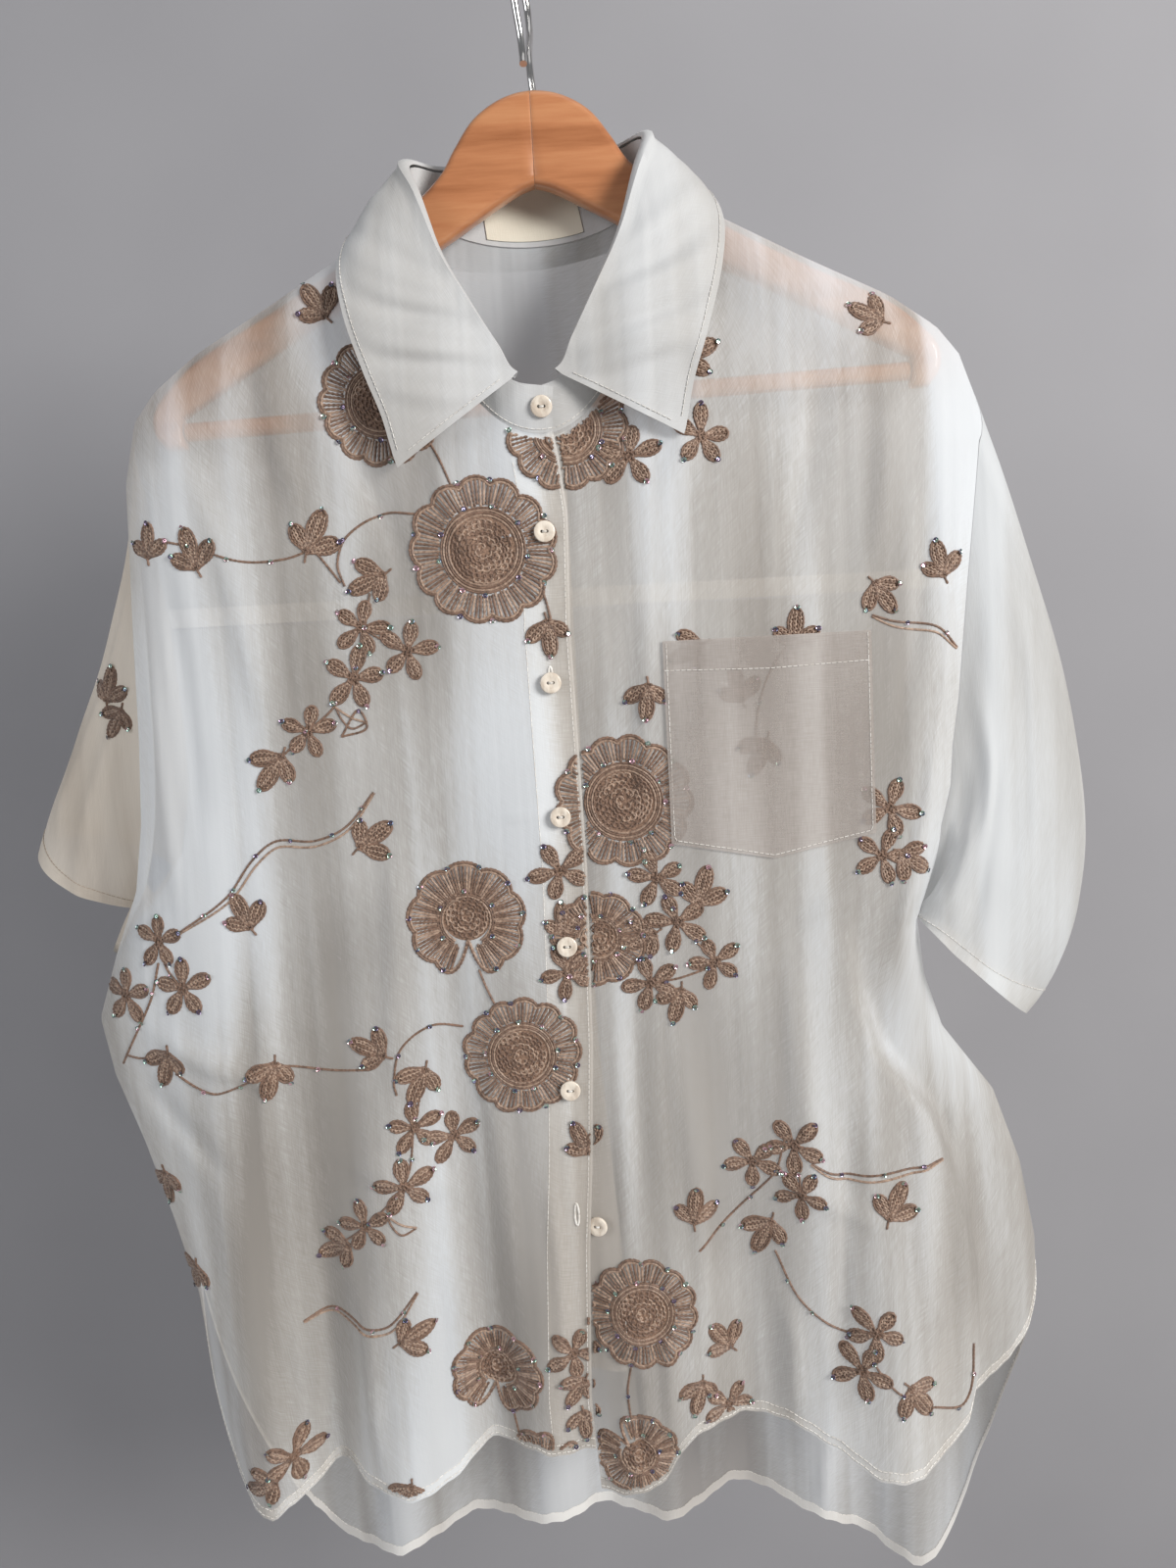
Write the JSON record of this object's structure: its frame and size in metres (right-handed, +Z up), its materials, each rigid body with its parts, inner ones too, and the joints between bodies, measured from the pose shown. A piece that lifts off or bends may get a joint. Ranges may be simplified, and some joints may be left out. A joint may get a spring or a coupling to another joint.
{
  "type": "embroidered shirt on a wooden hanger",
  "caption": "Loose sheer short-sleeved shirt with floral cord embroidery, hanging buttoned on a wooden hanger with a wire hook.",
  "frame": {"origin": "inside top of the hook, where the hanger rests on its rail", "axes": "+Z up, -Y out of the shirt's front, +X towards the viewer's right"},
  "size_m": [0.6248, 0.1607, 0.977],
  "materials": {
    "embroidered_cloth": "sheer voile",
    "plain_cloth": "sheer voile",
    "collar_cloth": "opaque plain weave",
    "pocket_cloth": "plain weave",
    "label_cloth": "satin weave",
    "button": "pearly",
    "wood": "varnished",
    "wire": "polished"
  },
  "bodies": {
    "root": {"front_right": "embroidered_cloth", "front_left": "embroidered_cloth", "buttonhole_band": "plain_cloth", "button_band": "plain_cloth", "yoke": "plain_cloth", "back": "plain_cloth", "sleeve_left": "plain_cloth", "sleeve_right": "plain_cloth", "collar_stand": "collar_cloth", "collar_leaf": "collar_cloth", "pocket": "pocket_cloth", "neck_label": "label_cloth", "button_1": "button", "button_2": "button", "button_3": "button", "button_4": "button", "button_5": "button", "button_6": "button", "button_7": "button", "hanger_arm_left": "wood", "hanger_arm_right": "wood", "hanger_bar": "wood", "hook": "wire"}
  },
  "joints": []
}
